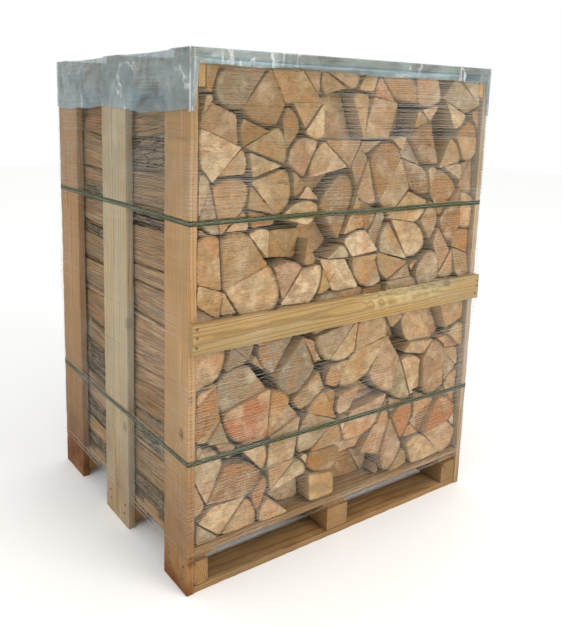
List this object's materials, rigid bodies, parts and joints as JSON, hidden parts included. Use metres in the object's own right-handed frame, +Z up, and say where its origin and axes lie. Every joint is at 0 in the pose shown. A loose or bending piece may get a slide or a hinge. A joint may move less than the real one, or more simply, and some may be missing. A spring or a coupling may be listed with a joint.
{
  "type": "palletised firewood crate",
  "caption": "Split firewood stacked in two rows on a pallet between side posts, held by straps and net, under a film hood.",
  "frame": {"origin": "on the ground under the middle of the crate", "axes": "+Z up; the log ends face -Y (front) and +Y (back); the post sides face -X and +X"},
  "size_m": [1.2078, 1.0132, 1.5543],
  "materials": {
    "pallet_wood": "rough-sawn softwood, yellow-brown",
    "sawn_board": "rough-sawn softwood, orange-tan, fresh",
    "weathered_board": "rough-sawn softwood, greyed",
    "rail_board": "rough-sawn softwood, straw-coloured, splintered",
    "firewood": "split hardwood: sawn ends, torn split faces, bark",
    "strap_band": "embossed polyester band, dark green",
    "knitted_net": "fine knitted polyethylene net, clear-white",
    "hood_film": "clear polyethylene film, bluish, wrinkled"
  },
  "bodies": {
    "root": {"block_back_left": "pallet_wood", "block_back_middle": "pallet_wood", "block_back_right": "pallet_wood", "block_front_left": "pallet_wood", "block_front_middle": "pallet_wood", "block_front_right": "pallet_wood", "block_middle_left": "pallet_wood", "block_middle_middle": "pallet_wood", "block_middle_right": "pallet_wood", "deck_board_1": "pallet_wood", "deck_board_2": "pallet_wood", "deck_board_3": "pallet_wood", "deck_board_4": "pallet_wood", "deck_board_5": "pallet_wood", "film_hood": "hood_film", "log_row_back": "firewood", "log_row_front": "firewood", "mid_rail_back": "rail_board", "mid_rail_front": "rail_board", "pallet_net": "knitted_net", "post_left_back": "sawn_board", "post_left_front": "sawn_board", "post_left_middle": "weathered_board", "post_right_back": "sawn_board", "post_right_front": "sawn_board", "post_right_middle": "weathered_board", "side_rail_left": "rail_board", "side_rail_right": "rail_board", "skid_board_back": "pallet_wood", "skid_board_front": "pallet_wood", "skid_board_middle": "pallet_wood", "strap_lower": "strap_band", "strap_upper": "strap_band", "stringer_left": "pallet_wood", "stringer_middle": "pallet_wood", "stringer_right": "pallet_wood", "top_board_back": "rail_board", "top_board_front": "rail_board", "top_board_middle": "rail_board"}
  },
  "joints": []
}
